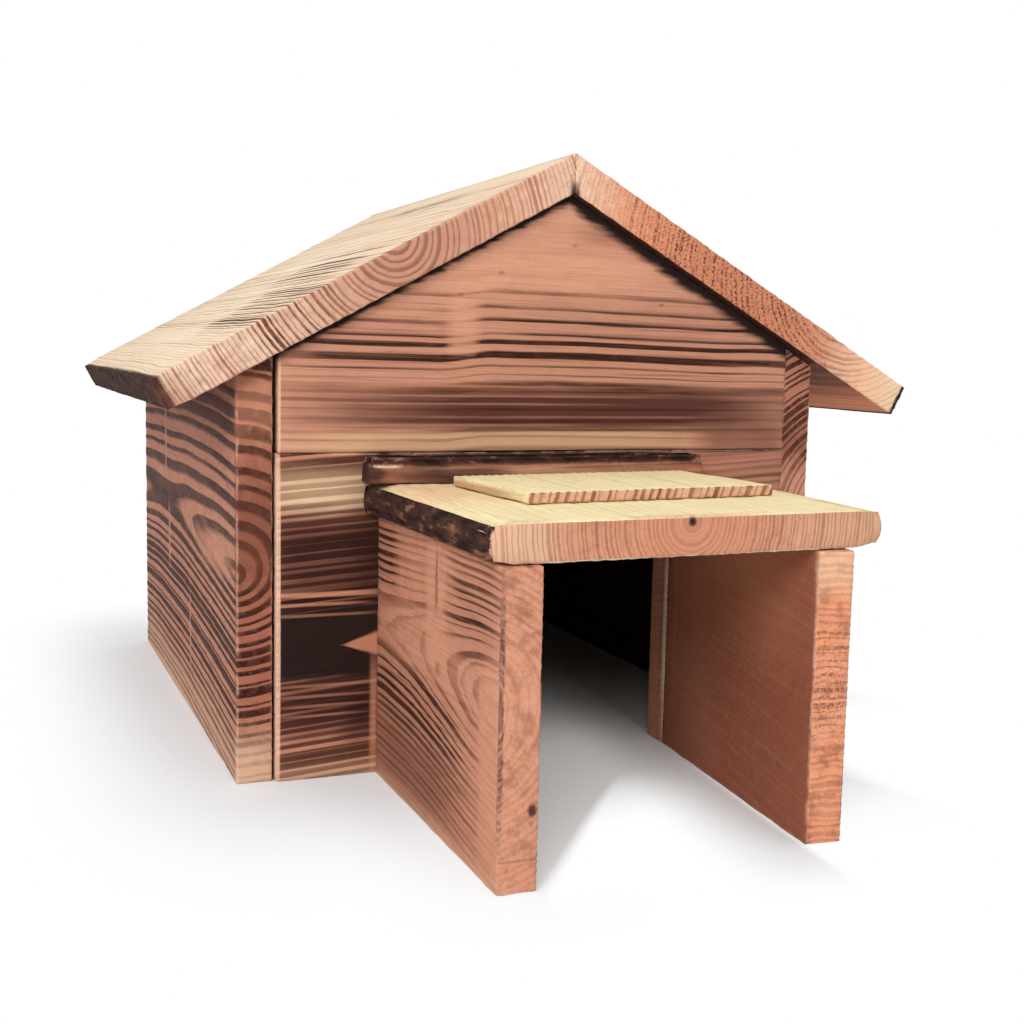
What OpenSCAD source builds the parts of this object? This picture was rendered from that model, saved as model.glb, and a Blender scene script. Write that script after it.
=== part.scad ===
// Hedgehog house of wide scorched boards with an entrance tunnel, in millimetres
// Front faces -Y, up is +Z, origin under the middle of the whole object

/* [House] */
// Thickness of the wall boards
board_t = 20; // [17:0.5:23]
// Width of the house over its side walls
house_w = 362; // [345:1:385]
// Depth of the house from front face to back face
house_d = 382; // [350:1:410]
// Height of the lower boards, up to the joint under the gable
lower_h = 182; // [178:1:192]
// How far the side walls' front ends sit behind the front face
wall_setback = 3; // [1:0.5:6]
// How far the walls sit to the left of the ridge
wall_shift = 9; // [0:1:14]

/* [Roof] */
// Slope of both roof slabs in degrees
roof_pitch = 28.8; // [27:0.1:31]
// Thickness of the roof slabs
roof_t = 20; // [16:0.5:24]
// Level distance from the ridge to either eave
roof_half = 237; // [225:1:250]
// Height of the underside at the ridge
ridge_under = 328.5; // [320:0.5:340]
// Overhang of the slabs past the front face
roof_front = 8; // [4:1:14]
// Overhang of the slabs past the back face
roof_back = 8; // [4:1:14]

/* [Tunnel] */
// Clear width at the mouth of the tunnel
tunnel_clear = 147; // [138:1:152]
// Length of the left tunnel wall
tunnel_len = 185; // [170:1:200]
// From the middle of the house to the tunnel's left inner face
tunnel_left = 83; // [78:1:88]
// Turn of the right tunnel wall, opening toward the house, in degrees
tunnel_skew = 5.5; // [0:0.5:6]
// How much shorter the right tunnel wall is
right_short = 8; // [3:1:12]

/* [Tunnel roof] */
// Thickness of the tunnel's roof slab
tunnel_roof_t = 19; // [16:0.5:21]
// Overhang of that slab past the left wall at the mouth
left_lip = 7; // [3:0.5:10]
// Extra overhang on the left where the slab meets the house
left_spread = 3; // [0:0.5:5]
// Overhang of that slab past the right wall
right_lip = 20; // [12:1:24]
// How far that slab's front end sits behind the wall ends
roof_setback = 3; // [1:0.5:6]
// Depth of the batten lying on the slab against the house
batten_t = 18; // [12:1:20]
// Length of the batten
batten_len = 206; // [190:1:212]
// Height of the batten, from the slab up to the joint under the gable
batten_h = 16; // [12:1:20]

/* [Plate] */
// Width of the blank plate
plate_w = 146; // [130:1:150]
// Depth of the blank plate
plate_d = 88; // [70:1:91]
// Thickness of the blank plate
plate_t = 6; // [4:0.5:9]
// Turn of the plate on the slab in degrees
plate_turn = 4.5; // [0:0.5:6]
// From the tunnel's left inner face to the plate's back right corner
plate_x = 157; // [154:1:163]
// Clearance between the batten and the plate's back right corner
plate_gap = 5; // [3:0.5:8]

/* [Hidden] */

// Colours of the boards
wall_wood = [0.56, 0.34, 0.25];
roof_wood = [0.80, 0.64, 0.48];
bark_wood = [0.36, 0.22, 0.16];

// Front and back planes, with the origin halfway between the mouth and the roof's back
front_y = -(house_d + roof_back - tunnel_len) / 2;
back_y = front_y + house_d;
mouth_y = front_y - tunnel_len;

// Faces of the side walls
left_x = -house_w / 2 - wall_shift;
right_x = house_w / 2 - wall_shift;
in_left_x = left_x + board_t;
in_right_x = right_x - board_t;

// Roof section
slope = tan(roof_pitch);
ridge_top = ridge_under + roof_t / cos(roof_pitch);
eave_top = ridge_top - roof_half * slope;
eave_in = roof_t * sin(roof_pitch);
eave_drop = roof_t * cos(roof_pitch);
slab_len = house_d + roof_front + roof_back;

// Tunnel faces, the right wall turned about its inner front corner
tl_in = -wall_shift - tunnel_left;
tl_out = tl_in - board_t;
tr_in = tl_in + tunnel_clear;
tr_front = mouth_y + right_short;
tr_run = front_y - tr_front;
jamb_right = tr_in + tr_run * tan(tunnel_skew);
tr_wide = board_t / cos(tunnel_skew);

// Tunnel heights, hung from the joint under the gable
slab_top = lower_h - batten_h;
tunnel_h = slab_top - tunnel_roof_t;

// Height of the roof's underside over a place across the house
function under_z(x) = ridge_under - abs(x) * slope;

// A board with square ends between two corners
module board(low, high) {
  translate(low)
    cube(high - low);
}

// A section across the house, run forward from a plane
module run_forward(from_y, length) {
  translate([0, from_y, 0])
    rotate([90, 0, 0])
      linear_extrude(height = length)
        children();
}

// The gable board's outline between the side walls
module gable_outline() {
  polygon([
    [in_left_x, lower_h],
    [in_right_x, lower_h],
    [in_right_x, under_z(in_right_x)],
    [0, ridge_under],
    [in_left_x, under_z(in_left_x)]
  ]);
}

// Half of the roof's section, mitred at the ridge
module slab_outline() {
  polygon([
    [0, ridge_under],
    [0, ridge_top],
    [-roof_half, eave_top],
    [-roof_half + eave_in, eave_top - eave_drop]
  ]);
}

module left_wall() {
  color(wall_wood)
    run_forward(back_y, house_d - wall_setback)
      polygon([
        [left_x, 0],
        [in_left_x, 0],
        [in_left_x, under_z(in_left_x)],
        [left_x, under_z(left_x)]
      ]);
}

module right_wall() {
  color(wall_wood)
    run_forward(back_y, house_d - wall_setback)
      polygon([
        [in_right_x, 0],
        [right_x, 0],
        [right_x, under_z(right_x)],
        [in_right_x, under_z(in_right_x)]
      ]);
}

module front_gable() {
  color(wall_wood)
    run_forward(front_y + board_t, board_t)
      gable_outline();
}

module front_left_panel() {
  color(wall_wood)
    board([in_left_x, front_y, 0], [tl_in, front_y + board_t, lower_h]);
}

module front_right_panel() {
  color(wall_wood)
    board([jamb_right, front_y, 0], [in_right_x, front_y + board_t, lower_h]);
}

module front_lintel() {
  color(wall_wood)
    board([tl_in, front_y, tunnel_h], [jamb_right, front_y + board_t, lower_h]);
}

module back_gable() {
  color(wall_wood)
    run_forward(back_y, board_t)
      gable_outline();
}

module back_panel() {
  color(wall_wood)
    board([in_left_x, back_y - board_t, 0], [in_right_x, back_y, lower_h]);
}

module roof_left() {
  color(roof_wood)
    run_forward(back_y + roof_back, slab_len)
      slab_outline();
}

module roof_right() {
  color(roof_wood)
    run_forward(back_y + roof_back, slab_len)
      mirror([1, 0, 0])
        slab_outline();
}

module tunnel_left_wall() {
  color(wall_wood)
    board([tl_out, mouth_y, 0], [tl_in, front_y, tunnel_h]);
}

module tunnel_right_wall() {
  color(wall_wood)
    linear_extrude(height = tunnel_h)
      polygon([
        [tr_in, tr_front],
        [tr_in + board_t * cos(tunnel_skew), tr_front - board_t * sin(tunnel_skew)],
        [jamb_right + tr_wide, front_y],
        [jamb_right, front_y]
      ]);
}

module tunnel_roof() {
  color(roof_wood)
    translate([0, 0, tunnel_h])
      linear_extrude(height = tunnel_roof_t)
        polygon([
          [tl_out - left_lip, mouth_y + roof_setback],
          [tr_in + tr_wide + right_lip, tr_front + roof_setback],
          [jamb_right + tr_wide + right_lip, front_y],
          [tl_out - left_lip - left_spread, front_y]
        ]);
}

module tunnel_batten() {
  color(bark_wood)
    translate([tl_out - left_lip - left_spread, front_y - batten_t, slab_top])
      cube([batten_len, batten_t, batten_h]);
}

module blank_plate() {
  color(roof_wood)
    translate([tl_in + plate_x, front_y - batten_t - plate_gap, slab_top])
      rotate([0, 0, plate_turn])
        translate([-plate_w, -plate_d, 0])
          cube([plate_w, plate_d, plate_t]);
}

left_wall();
right_wall();
front_gable();
front_left_panel();
front_right_panel();
front_lintel();
back_gable();
back_panel();
roof_left();
roof_right();
tunnel_left_wall();
tunnel_right_wall();
tunnel_roof();
tunnel_batten();
blank_plate();
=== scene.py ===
import math
from dataclasses import dataclass

import bmesh
import bpy
import numpy as np
from mathutils import Matrix, Vector


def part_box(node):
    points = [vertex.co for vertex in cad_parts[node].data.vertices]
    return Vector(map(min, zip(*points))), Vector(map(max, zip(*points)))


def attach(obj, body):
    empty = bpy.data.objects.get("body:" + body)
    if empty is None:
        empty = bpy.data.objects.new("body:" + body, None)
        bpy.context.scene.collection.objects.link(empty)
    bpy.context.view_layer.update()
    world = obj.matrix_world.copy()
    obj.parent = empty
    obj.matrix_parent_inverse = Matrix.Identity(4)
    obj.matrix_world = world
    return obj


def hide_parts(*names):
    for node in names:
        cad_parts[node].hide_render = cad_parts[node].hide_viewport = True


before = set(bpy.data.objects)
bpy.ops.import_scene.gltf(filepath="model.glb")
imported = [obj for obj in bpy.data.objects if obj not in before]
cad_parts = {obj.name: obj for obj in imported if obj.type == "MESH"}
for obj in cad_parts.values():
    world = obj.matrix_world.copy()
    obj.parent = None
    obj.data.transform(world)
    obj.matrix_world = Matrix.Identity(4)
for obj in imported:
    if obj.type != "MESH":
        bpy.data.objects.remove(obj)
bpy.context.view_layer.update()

bl_info = {
    "name": "Hedgehog house",
    "version": (1, 0, 0),
    "blender": (4, 5, 0),
    "location": "View3D > Sidebar > House",
    "description": "Dresses a hedgehog house in scorched and brushed boards",
    "category": "Object",
}

MM = 0.001

# The camera that took the reference picture, in millimetres, degrees and pixels
PICTURE = 1024
SENSOR = 36.0
CAMERA_PLACE = (-323.74, -807.25, 238.70)
CAMERA_YAW = 22.212
CAMERA_PITCH = -6.597
CAMERA_ROLL = 1.214
FOCAL_PIXELS = 1329.8
AXIS_PIXEL = (504.9, 505.6)

# The lamp and the floor, in metres
LAMP_PLACE = Vector((-1.0, -1.48, 1.09))
LAMP_TARGET = Vector((0, -0.05, 0.12))
LAMP_SIZE = 0.8
FLOOR_SIZE = 12

# Angles between two faces, in degrees: from here on an edge is an arris, and up to here it is shaded smooth
ARRIS_ANGLE = 40
SMOOTH_ANGLE = 50

# Edges shorter than this share of the longest one lie on an arris
SHORT_EDGE = 0.3


def paint(red, green, blue):
    """A colour as it is seen on screen, from 0 to 255, in the linear light that nodes use."""
    parts = []
    for part in (red, green, blue):
        share = part / 255
        parts.append(share / 12.92 if share <= 0.04045 else ((share + 0.055) / 1.055) ** 2.4)
    return tuple(parts)


def box(node):
    """The lowest and highest corner of a CAD node, in millimetres."""
    return tuple(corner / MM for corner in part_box(node))


def tint(name, description, colour):
    """A colour that the user may change."""
    return bpy.props.FloatVectorProperty(
        name=name, description=description, default=colour, subtype="COLOR", min=0, max=1)


def share(name, description, default, top):
    """A plain factor that the user may change."""
    return bpy.props.FloatProperty(
        name=name, description=description, default=default, min=0, max=top, subtype="FACTOR")


def length(name, description, default):
    """A length in metres that the user may change."""
    return bpy.props.FloatProperty(
        name=name, description=description, default=default, min=0, unit="LENGTH", precision=5)


class HouseSizes(bpy.types.PropertyGroup):
    """Sizes of the finish on the boards"""

    ease: length("Eased arris", "How far the arrises of the boards are rubbed round", 1.1 * MM)
    groove: length(
        "Brushed groove", "How deep the brush has worn the soft wood between the rings", 0.32 * MM)
    bark_depth: length("Bark depth", "How rough the bark on the live edges is", 2.2 * MM)
    gap: length("Joint gap", "The gap left at each end of the boards between the side walls", 1.0 * MM)
    grid_across: length("Grid across the grain", "Mesh spacing across the grain", 1.25 * MM)
    grid_along: length("Grid along the grain", "Mesh spacing along the grain", 6 * MM)


class HouseColours(bpy.types.PropertyGroup):
    """Colours of the wood, from fresh to burnt, with a few that are painted light and shade"""

    cream: tint("Cream", "Fresh sapwood on the roofs", paint(252, 234, 208))
    straw: tint("Straw", "Pale wood turned a little yellow", paint(242, 210, 172))
    butter: tint("Butter", "Fresh sapwood on the tunnel roof", paint(254, 240, 190))
    beige: tint("Beige", "Pale sawn end of the tunnel roof", paint(218, 178, 148))
    salmon: tint("Salmon", "Warm wood of the boards", paint(214, 154, 126))
    blush: tint("Blush", "Warmer wood of the boards", paint(204, 138, 108))
    tan: tint("Tan", "Pale wood under a thin burn", paint(206, 164, 126))
    rose: tint("Rose", "Wood lightly toasted by the flame", paint(190, 130, 106))
    # Under the eaves amber is painted light: brighter than the wood, so that the shaded underside looks
    # lit; elsewhere it is the wood's own colour
    amber: tint("Amber", "Warm light wood under the eaves", paint(244, 154, 108))
    russet: tint("Russet", "Red wood inside the tunnel and under the eaves", paint(156, 90, 68))
    toast: tint("Toast", "Wood browned by the flame", paint(120, 74, 60))
    umber: tint("Umber", "Wood darkened by the flame", paint(88, 50, 42))
    line: tint("Ring line", "Hard late wood on fresh faces", paint(158, 98, 70))
    dark_line: tint("Scorched line", "Hard late wood on scorched faces", paint(42, 19, 15))
    char: tint("Char", "Burnt wood", paint(38, 25, 22))
    # Painted shade: this colour darkens the faces inside the house, where shade falls
    inside_painted_shade: tint("Soot", "Burnt faces inside the house", paint(54, 35, 31))
    bark: tint("Bark", "Bark on the live edges", paint(66, 42, 36))
    bark_light: tint("Bark ridge", "Light ridges in the bark", paint(158, 112, 86))
    worn: tint("Worn arris", "Arrises rubbed pale", paint(228, 186, 158))


class StageSettings(bpy.types.PropertyGroup):
    """Floor and light"""

    floor: tint("Floor", "Plain pale floor", (0.90, 0.93, 0.96))
    sky_side: share("Light from the sides", "Strength of the soft light near the floor", 0.4, 2.0)
    sky_top: share("Light from above", "Strength of the soft light overhead", 0.95, 2.0)
    key: bpy.props.FloatProperty(
        name="Main lamp", description="Power of the large soft lamp", default=20, min=0, unit="POWER")


class Wire:
    """A value that travels through a node tree. Arithmetic on it adds Math nodes."""

    def __init__(self, tree, socket):
        self.tree = tree
        self.socket = socket

    def __add__(self, other):
        return self.tree.maths("ADD", self, other)

    def __sub__(self, other):
        return self.tree.maths("SUBTRACT", self, other)

    def __rsub__(self, other):
        return self.tree.maths("SUBTRACT", other, self)

    def __mul__(self, other):
        return self.tree.maths("MULTIPLY", self, other)

    def __truediv__(self, other):
        return self.tree.maths("DIVIDE", self, other)

    def __rtruediv__(self, other):
        return self.tree.maths("DIVIDE", other, self)

    __radd__ = __add__
    __rmul__ = __mul__


class Nodes:
    """A node tree that is being written: a finish, or the relief that goes with it."""

    def __init__(self, tree):
        self.tree = tree
        self.relief = tree.bl_idname == "GeometryNodeTree"

    def node(self, kind, settings=None, values=None, out=0):
        """Adds a node, sets it, fills or links its sockets and hands back one of its outputs."""
        node = self.tree.nodes.new(kind)
        for name, setting in (settings or {}).items():
            setattr(node, name, setting)
        for socket, value in (values or {}).items():
            if isinstance(value, Wire):
                self.tree.links.new(value.socket, node.inputs[socket])
            else:
                node.inputs[socket].default_value = value
        return Wire(self, node.outputs[out]) if node.outputs else None

    def maths(self, operation, *values):
        return self.node("ShaderNodeMath", {"operation": operation}, dict(enumerate(values)))

    def vector(self, operation, *values, out=0):
        return self.node("ShaderNodeVectorMath", {"operation": operation}, dict(enumerate(values)), out)

    def dot(self, one, two):
        return self.vector("DOT_PRODUCT", one, two, out=1)

    def place(self):
        """Where a point of the piece is, in millimetres."""
        if not hasattr(self, "spot"):
            if self.relief:
                spot = self.node("GeometryNodeInputPosition")
            else:
                spot = self.node("ShaderNodeTexCoord", out="Object")
            self.spot = self.vector("MULTIPLY", spot, (1 / MM, 1 / MM, 1 / MM))
        return self.spot

    def stored(self, name):
        """A number that was stored on the mesh when the board was cut."""
        if self.relief:
            return self.node("GeometryNodeInputNamedAttribute", {"data_type": "FLOAT"}, {"Name": name})
        return self.node("ShaderNodeAttribute", {"attribute_name": name}, out="Fac")

    def step(self, value, low, high):
        """0 below low, 1 above high, and smooth between them."""
        return self.node(
            "ShaderNodeMapRange", {"interpolation_type": "SMOOTHSTEP"},
            {"Value": value, "From Min": low, "From Max": high})

    def join(self, x, y, z):
        return self.node("ShaderNodeCombineXYZ", values={0: x, 1: y, 2: z})

    def noise(self, spot, detail):
        return self.node(
            "ShaderNodeTexNoise", {"noise_dimensions": "3D"},
            {"Vector": spot, "Scale": 1.0, "Detail": detail, "Roughness": 0.55})

    def spots(self, scale, detail):
        """Noise that is as long as it is wide."""
        return self.noise(self.vector("MULTIPLY", self.place(), (scale, scale, scale)), detail)

    def noise_line(self, value):
        return self.node(
            "ShaderNodeTexNoise", {"noise_dimensions": "1D"},
            {"W": value, "Scale": 1.0, "Detail": 1.0, "Roughness": 0.5})

    def blend(self, amount, one, two):
        """A colour between two colours."""
        values = {0: amount}
        for socket, colour in ((6, one), (7, two)):
            values[socket] = colour if isinstance(colour, Wire) else (*colour, 1)
        return self.node("ShaderNodeMix", {"data_type": "RGBA"}, values, 2)

    def between(self, amount, one, two):
        """A number between two numbers."""
        return amount * (two - one) + one


# Noise in the wood: how long it is along the grain and how wide across it in millimetres, its detail and
# a shift that keeps one from looking like another, which a patch's edge takes from its place
RIPPLE = (150, 19, 2.0, 0.0)
FRAY = (55, 4.0, 2.0, 4.0)
CLOUD = (210, 42, 2.0, 1.0)
STREAK = (170, 5.5, 3.0, 2.0)
FIBRE = (24, 0.8, 3.0, 3.0)
THREAD = (130, 1.5, 2.0, 5.0)
FADING = (85, 7.0, 2.0, 7.0)
CHAR_EDGE = (26, 4, 3.0, 6.0)
BRUSHING = (90, 20, 2.0, 8.0)
LIVE_EDGE = (70, 60, 1.0, 9.0)
BARK = (14, 5, 3.0, 10.0)
PATCH_EDGE = (45, 5.0, 2.0)

# How slowly the heart bends and sways along a board, in millimetres
BEND = 95
SWAY = 120


@dataclass
class Timber:
    """How a board lay in its tree: the line of its heart, and the width and shape of its rings."""

    heart: tuple
    pitch: float
    tighten: float = 0.0
    lean: tuple = (0, 0)
    wander: float = 1.5
    ripple: float = 0.8
    band: float = 0.5
    sweep: tuple = (0, 0)
    slip: tuple = None
    seed: float = 1.0

    def __post_init__(self):
        self.start = Vector(self.heart[0])
        self.run = (Vector(self.heart[1]) - self.start).normalized()
        guide = Vector((0, 0, 1)) if abs(self.run.z) < 0.7 else Vector((1, 0, 0))
        self.side = guide.cross(self.run).normalized()
        self.lift = self.run.cross(self.side)

    def figure(self, tree, long, wide, detail, shift):
        """Noise drawn out along the grain."""
        along, side, lift = self.axes(tree)
        return tree.noise(
            tree.join(along / long + self.seed + shift, side / wide, lift / wide + shift), detail)

    def axes(self, tree):
        """Distances from the heart's start along the grain and across it."""
        if not hasattr(tree, "axes"):
            away = tree.vector("SUBTRACT", tree.place(), tuple(self.start))
            tree.axes = tuple(tree.dot(away, tuple(way)) for way in (self.run, self.side, self.lift))
        return tree.axes

    def rings(self, tree):
        """Which ring a point is in, as a count that grows outward from the heart."""
        along, side, lift = self.axes(tree)
        bend = tree.noise_line(along / BEND + self.seed * 3.1)
        sway = tree.noise_line(along / SWAY + self.seed * 5.7)
        side = side + (bend - 0.5) * (2 * self.wander) + along * along * self.sweep[0]
        lift = lift + (sway - 0.5) * (2 * self.wander) + along * along * self.sweep[1]
        out = tree.maths("SQRT", side * side + lift * lift) - side * self.lean[0] - lift * self.lean[1]
        out = out + (self.figure(tree, *RIPPLE) - 0.5) * (2 * self.ripple)
        out = out + (self.figure(tree, *FRAY) - 0.5) * 0.7
        if self.slip:
            first, last, push = self.slip
            out = out + tree.step(along, first, last) * push
        count = (out + out * out * self.tighten) / self.pitch
        return count + (tree.noise_line(out / (1.7 * self.pitch) + self.seed) - 0.5) * 0.9

    def bands(self, tree):
        """The hard dark part of each ring, slow to darken and quick to end, and the ring's strength."""
        count = self.rings(tree)
        ring = tree.maths("FLOOR", count) + self.seed * 7.3
        vigour = tree.node("ShaderNodeTexWhiteNoise", {"noise_dimensions": "1D"}, {"W": ring}, "Value")
        turn = tree.maths("FRACT", count)
        start = 0.92 - (0.6 + vigour * 0.8) * self.band
        late = tree.step(turn, start, start + 0.3) * (1 - tree.step(turn, 0.9, 1.0))
        return late, vigour


@dataclass
class Blot:
    """A patch on a board: its middle, its reach, how strong it is and how ragged along the grain."""

    centre: tuple
    half: tuple
    depth: float
    ragged: float = 0.3
    soft: float = 0.3
    taper: bool = False
    specks: bool = False
    lines: float = 0.15
    round: bool = False
    over: bool = False

    def mask(self, tree, timber):
        """1 in the middle of the patch, 0 outside it."""
        away = tree.vector("DIVIDE", tree.vector("SUBTRACT", tree.place(), self.centre), self.half)
        if self.taper:
            narrow = tree.maths("MAXIMUM", tree.dot(away, (0.5, 0, 0)) + 0.5, 0.02)
            away = tree.vector("MULTIPLY", away, tree.join(1, 1, 1 / narrow))
        if self.round:
            far = tree.vector("LENGTH", away, out=1)
        else:
            far = tree.maths("SQRT", tree.vector("LENGTH", tree.vector("MULTIPLY", away, away), out=1))
        edge = timber.figure(tree, *PATCH_EDGE, self.centre[0] * 0.37 + self.centre[2] * 0.21)
        far = far + (edge - 0.5) * (2 * self.ragged)
        return (1 - tree.step(far, 1 - self.soft, 1 + self.soft * 0.3)) * self.depth


def patches_on(axis, place, reach):
    """A way to set patches on one face of a board, by their middle and half size in that face."""

    def patch(middle, half, *shape, **kinds):
        centre = (*middle[:axis], place, *middle[axis:])
        return Blot(centre, (*half[:axis], reach, *half[axis:]), *shape, **kinds)

    return patch


# Faces that are patched, in millimetres
FRONT = round(box("front_gable")[0].y, 3)
MOUTH = round(box("tunnel_left_wall")[0].y, 3)
LEFT = round(box("left_wall")[0].x, 3)
TUNNEL_LEFT = round(box("tunnel_left_wall")[0].x, 3)
on_front = patches_on(1, FRONT, 30)
on_back = patches_on(1, round(box("back_gable")[1].y, 3), 30)
on_wall_end = patches_on(1, round(box("left_wall")[0].y, 3), 6)
on_slab_end = patches_on(1, round(box("roof_left")[0].y, 3), 8)
on_batten = patches_on(1, -120, 10)
on_left_wall = patches_on(0, LEFT, 20)
on_left_skin = patches_on(0, LEFT, 12)
on_tunnel_wall = patches_on(0, TUNNEL_LEFT, 20)
on_tunnel_skin = patches_on(0, TUNNEL_LEFT, 12)


@dataclass
class Finish:
    """How a board is coloured and burnt, and where."""

    # Wood between the rings on the faces and on the sawn ends
    fresh: str
    warm: str
    end_fresh: str
    end_warm: str
    # Ring lines on the faces: how dark, how broken up and how narrow they are
    lines: float = 0.9
    broken: float = 0.5
    sharp: float = 1.0
    # The flame: how far it burnt the faces, how unevenly, and how brown the wood between the rings got
    scorch: float = 0.5
    cloud: float = 0.5
    streak: float = 0.6
    toast: float = 0.6
    # The same on the sawn ends
    end_lines: float = 0.7
    end_scorch: float = 0.3
    end_toast: float = 0.3
    # Blotches all over, arrises rubbed pale or broken dark, and the inner face that is painted dark as the
    # shade inside the house, with how wide that painted shade is on a roof's underside
    mottle: float = 0.2
    worn: float = 0.4
    scuffed: float = 0.0
    painted_shade_facing: tuple = None
    painted_shade_width: float = 0.0
    # Patches that burnt more, that burnt less and that have a colour of their own, a few of them painted
    # light and shade
    shades: tuple = ()
    wipes: tuple = ()
    stains_and_painted_light: tuple = ()
    # Char and painted shade under the roof, the depth of the bark and how light its ridges are
    roof_char_and_shade: tuple = None
    bark: float = 0.0
    ridge: float = 1.0


def clamp(tree, value):
    return tree.node("ShaderNodeClamp", values={"Value": value})


def wood_finish(name, timber, finish):
    """A procedural finish: rings, scorching, burnt blots, worn arrises and bark."""
    colours = bpy.context.scene.house_colours
    material = bpy.data.materials.new(name)
    material.use_nodes = True
    material.node_tree.nodes.clear()
    tree = Nodes(material.node_tree)

    late, vigour = timber.bands(tree)
    cloud = timber.figure(tree, *CLOUD)
    streak = timber.figure(tree, *STREAK)
    fibre = timber.figure(tree, *FIBRE)
    thread = timber.figure(tree, *THREAD)
    fading = tree.step(timber.figure(tree, *FADING), 0.32, 0.6)
    speck = tree.spots(0.75, 2.0)
    rub = tree.spots(0.07, 3.0)
    blotch = tree.spots(0.13, 4.0)
    facing = tree.node("ShaderNodeAttribute", {"attribute_name": "facing"}, out="Vector")
    end = tree.step(tree.maths("ABSOLUTE", tree.dot(facing, tuple(timber.run))), 0.6, 0.8)

    drift = (cloud - 0.5) * (2 * finish.cloud) + (streak - 0.5) * (2 * finish.streak)
    kept = 1.0
    for blot in finish.shades:
        drift = drift + blot.mask(tree, timber)
    for blot in finish.wipes:
        wiped = blot.mask(tree, timber)
        drift = drift - wiped
        kept = (1 - wiped * 0.75) * kept
    scorch = clamp(tree, finish.scorch + drift)

    warmth = clamp(tree, 0.25 + cloud * 0.7 + (streak - 0.5) * 0.5)
    early = tree.blend(warmth, getattr(colours, finish.fresh), getattr(colours, finish.warm))
    early = tree.blend(scorch * finish.toast, early, colours.toast)
    hard = tree.blend(clamp(tree, scorch * 1.3), colours.line, colours.dark_line)
    weight = tree.maths("POWER", late, finish.sharp) * (0.6 + vigour * 0.4) * (0.25 + scorch)
    weight = weight * (1 - finish.broken + fading * finish.broken)
    weight = clamp(tree, weight * kept * finish.lines)
    face = tree.blend(weight, early, hard)
    face = tree.blend(tree.step(thread, 0.5, 0.75) * (0.2 + scorch * 0.4), face, colours.toast)
    face = tree.blend(tree.step(thread, 0.46, 0.3) * 0.18, face, early)
    face = tree.blend((fibre - 0.5) * 0.5 + 0.08, face, colours.toast)

    end_tone = tree.blend(warmth, getattr(colours, finish.end_fresh), getattr(colours, finish.end_warm))
    end_burn = clamp(tree, finish.end_scorch + drift)
    end_tone = tree.blend(end_burn * finish.end_toast, end_tone, colours.toast)
    end_hard = tree.blend(end_burn, colours.line, colours.dark_line)
    end_weight = clamp(tree, late * (0.5 + vigour * 0.5) * (0.5 + end_burn * 0.7) * kept * finish.end_lines)
    end_face = tree.blend(end_weight, end_tone, end_hard)
    end_face = tree.blend(tree.step(speck, 0.52, 0.75) * 0.35, end_face, colours.toast)
    skin = tree.blend(end, face, end_face)
    mottle = (0.35 + end * 0.65) * finish.mottle
    skin = tree.blend(tree.step(blotch, 0.48, 0.68) * mottle, skin, colours.toast)
    skin = tree.blend(tree.step(blotch, 0.46, 0.3) * mottle * 0.25, skin, colours.worn)

    # Lays the coloured patches in turn; a few of them are painted light and shade, not colours of the wood
    def lay_stains_and_painted_light(skin, over):
        for colour, blot in finish.stains_and_painted_light:
            if blot.over == over:
                cover = blot.mask(tree, timber) * (1 - late * blot.lines)
                if blot.specks:
                    cover = cover * tree.step(speck, 0.42, 0.58) * (0.25 + late * 0.75)
                skin = tree.blend(clamp(tree, cover), skin, getattr(colours, colour))
        return skin

    skin = lay_stains_and_painted_light(skin, False)
    # Char and painted shade: the top of a gable board is darkened along the roof, standing for both char
    # and the overhang's shade
    if finish.roof_char_and_shade:
        skin = tree.blend(roof_char_and_shade(tree, timber, finish.roof_char_and_shade), skin, colours.char)

    arris = tree.stored("arris") + (streak - 0.5) * 1.6 + (speck - 0.5) * 1.4
    edge = 1 - tree.step(arris, 0.5, 1.7)
    skin = tree.blend(edge * tree.step(rub, 0.4, 0.55) * finish.worn, skin, colours.worn)
    if finish.scuffed:
        skin = tree.blend(edge * tree.step(speck, 0.5, 0.6) * finish.scuffed, skin, colours.dark_line)
    rough = 0.66 + scorch * 0.14 - late * 0.08

    # Painted shade: the inner faces are painted dark for the shade inside the house. On a roof's underside,
    # out past the walls, a bright warm colour is painted light, and a darker band next to the walls is
    # painted shade
    if finish.painted_shade_facing is not None:
        inside = tree.step(tree.dot(facing, finish.painted_shade_facing), 0.5, 0.8)
        if finish.painted_shade_width:
            middle = tree.maths("ABSOLUTE", tree.dot(tree.place(), (1, 0, 0))) + (streak - 0.5) * 30
            skin = tree.blend(inside * 0.9, skin, tree.blend(late * 0.5, colours.amber, colours.blush))
            painted_shade_near_walls = tree.step(middle, finish.painted_shade_width + 38, finish.painted_shade_width + 12)
            skin = tree.blend(inside * painted_shade_near_walls * 0.8, skin, colours.umber)
            inside = inside * (1 - tree.step(middle, finish.painted_shade_width - 25, finish.painted_shade_width + 10))
        skin = tree.blend(inside * (0.88 + late * 0.1), skin, colours.inside_painted_shade)
    height = late * 0.5 + fibre * 0.7 + speck * 0.15

    if finish.bark:
        barked = tree.stored("barked") + (streak - 0.5) * 3 + (speck - 0.5) * 2.5
        shell = 1 - tree.step(barked, finish.bark * 0.75, finish.bark * 1.15)
        ridges = bark_ridges(tree, timber)
        crust = tree.blend(tree.step(ridges, 0.53, 0.72) * finish.ridge, colours.bark, colours.bark_light)
        crust = tree.blend(tree.step(ridges, 0.5, 0.34), crust, colours.char)
        crust = tree.blend(tree.step(speck, 0.5, 0.75) * 0.6, crust, colours.char)
        skin = tree.blend(shell, skin, crust)
        rough = tree.between(shell, rough, 0.92)
        height = height + shell * ridges
    skin = lay_stains_and_painted_light(skin, True)

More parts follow.
